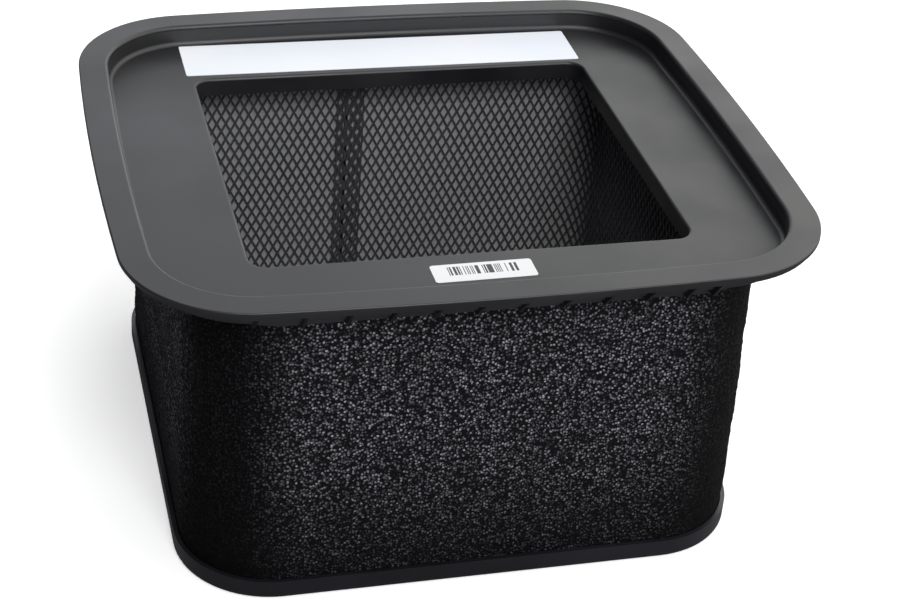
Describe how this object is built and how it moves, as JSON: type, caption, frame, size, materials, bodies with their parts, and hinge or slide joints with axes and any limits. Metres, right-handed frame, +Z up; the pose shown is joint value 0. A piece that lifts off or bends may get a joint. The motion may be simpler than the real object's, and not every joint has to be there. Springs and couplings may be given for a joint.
{
  "type": "air purifier filter cassette",
  "caption": "Box-shaped HEPA and carbon filter cassette: black bowed flange tray over a wrapped square pack with a diamond mesh lining and a shallow cap below.",
  "frame": {"origin": "centre of the bottom face, on the surface that the cap stands on", "axes": "+Z up through the air opening, +X along the wide side of the flange, -Y towards the side with the small sticker"},
  "size_m": [0.28, 0.256, 0.142],
  "materials": {
    "frame_plastic": "satin, fine moulded grain",
    "cap_plastic": "satin",
    "carbon_fleece": "black fleece full of carbon granules",
    "filter_paper": "matt folded filter paper",
    "fleece": "matt grey fleece",
    "mesh_plastic": "black extruded net",
    "glue": "set potting glue",
    "label_film": "smooth white film, bare"
  },
  "bodies": {
    "root": {"top_frame": "frame_plastic", "bottom_cap": "cap_plastic", "carbon_sleeve": "carbon_fleece", "filter_paper": "filter_paper", "inner_fleece": "fleece", "inner_mesh": "mesh_plastic", "top_glue": "glue", "bottom_glue": "glue", "product_label": "label_film", "code_sticker": "label_film"}
  },
  "joints": []
}
